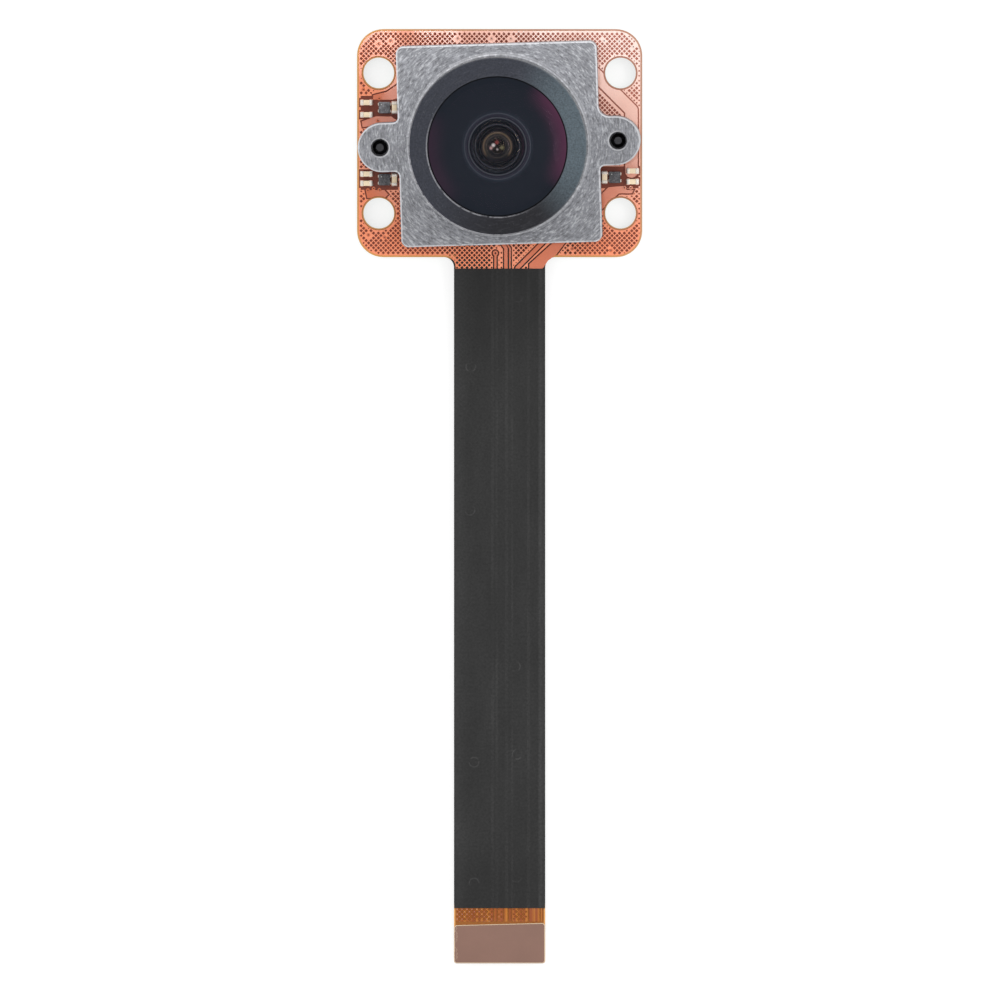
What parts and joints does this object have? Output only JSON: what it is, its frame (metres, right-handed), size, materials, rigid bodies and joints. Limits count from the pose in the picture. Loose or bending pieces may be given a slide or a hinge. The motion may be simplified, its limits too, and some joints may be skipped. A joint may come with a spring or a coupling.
{
  "type": "camera module",
  "caption": "Wide-angle camera module: domed lens in a die-cast holder with screw ears, on a flexible circuit with corner holes and a long shielded tail.",
  "frame": {"origin": "centre of the four-hole mounting pattern, on the flat back face of the stiffener plate", "axes": "+Z out through the lens along the optical axis, +Y away from the tail, +X to the right with the tail pointing down, seen from the front"},
  "size_m": [0.025, 0.082, 0.0176],
  "materials": {
    "stiffener_board": "glass-cloth laminate, matt",
    "circuit_film": "amber polyimide film, satin",
    "copper": "copper foil under a thin amber film",
    "shield_film": "black shielding film, matt",
    "end_stiffener": "pinkish-brown polyimide, satin",
    "contact_gold": "gold plated",
    "sensor_ceramic": "matt ceramic",
    "sensor_silicon": "polished silicon",
    "cover_glass": "clear flat glass",
    "filter_glass": "coated flat glass, pale blue",
    "gasket": "black adhesive foam",
    "die_casting": "blasted die casting, plain",
    "screw_steel": "dark zinc plated",
    "black_metal": "black anodised, matt",
    "seal_rubber": "black rubber",
    "lens_glass": "coated optical glass",
    "lens_rings": "black anodised, matt",
    "capacitor": "fired ceramic with tinned ends",
    "chip_plastic": "moulded, matt"
  },
  "bodies": {
    "root": {"board_stiffener": "stiffener_board", "flex_circuit": "circuit_film", "ground_copper": "copper", "trace_copper": "copper", "tail_shield_front": "shield_film", "tail_shield_back": "shield_film", "tail_end_stiffener": "end_stiffener", "contact_fingers": "contact_gold", "sensor_package": "sensor_ceramic", "sensor_die": "sensor_silicon", "sensor_glass": "cover_glass", "ir_filter": "filter_glass", "holder_gasket": "gasket", "lens_holder": "die_casting", "holder_screws": "screw_steel", "lens_barrel": "black_metal", "front_cap_ring": "black_metal", "front_seal": "seal_rubber", "front_element": "lens_glass", "second_element": "lens_glass", "third_element": "lens_glass", "doublet_front": "lens_glass", "doublet_rear": "lens_glass", "rear_element": "lens_glass", "front_spacer": "lens_rings", "upper_spacer": "lens_rings", "middle_spacer": "lens_rings", "rear_spacer": "lens_rings", "aperture_stop": "lens_rings", "capacitor_1": "capacitor", "capacitor_2": "capacitor", "capacitor_3": "capacitor", "capacitor_4": "capacitor", "capacitor_5": "capacitor", "capacitor_6": "capacitor", "capacitor_7": "capacitor", "capacitor_8": "capacitor", "capacitor_9": "capacitor", "regulator_1": "chip_plastic", "regulator_2": "chip_plastic", "regulator_3": "chip_plastic"}
  },
  "joints": []
}
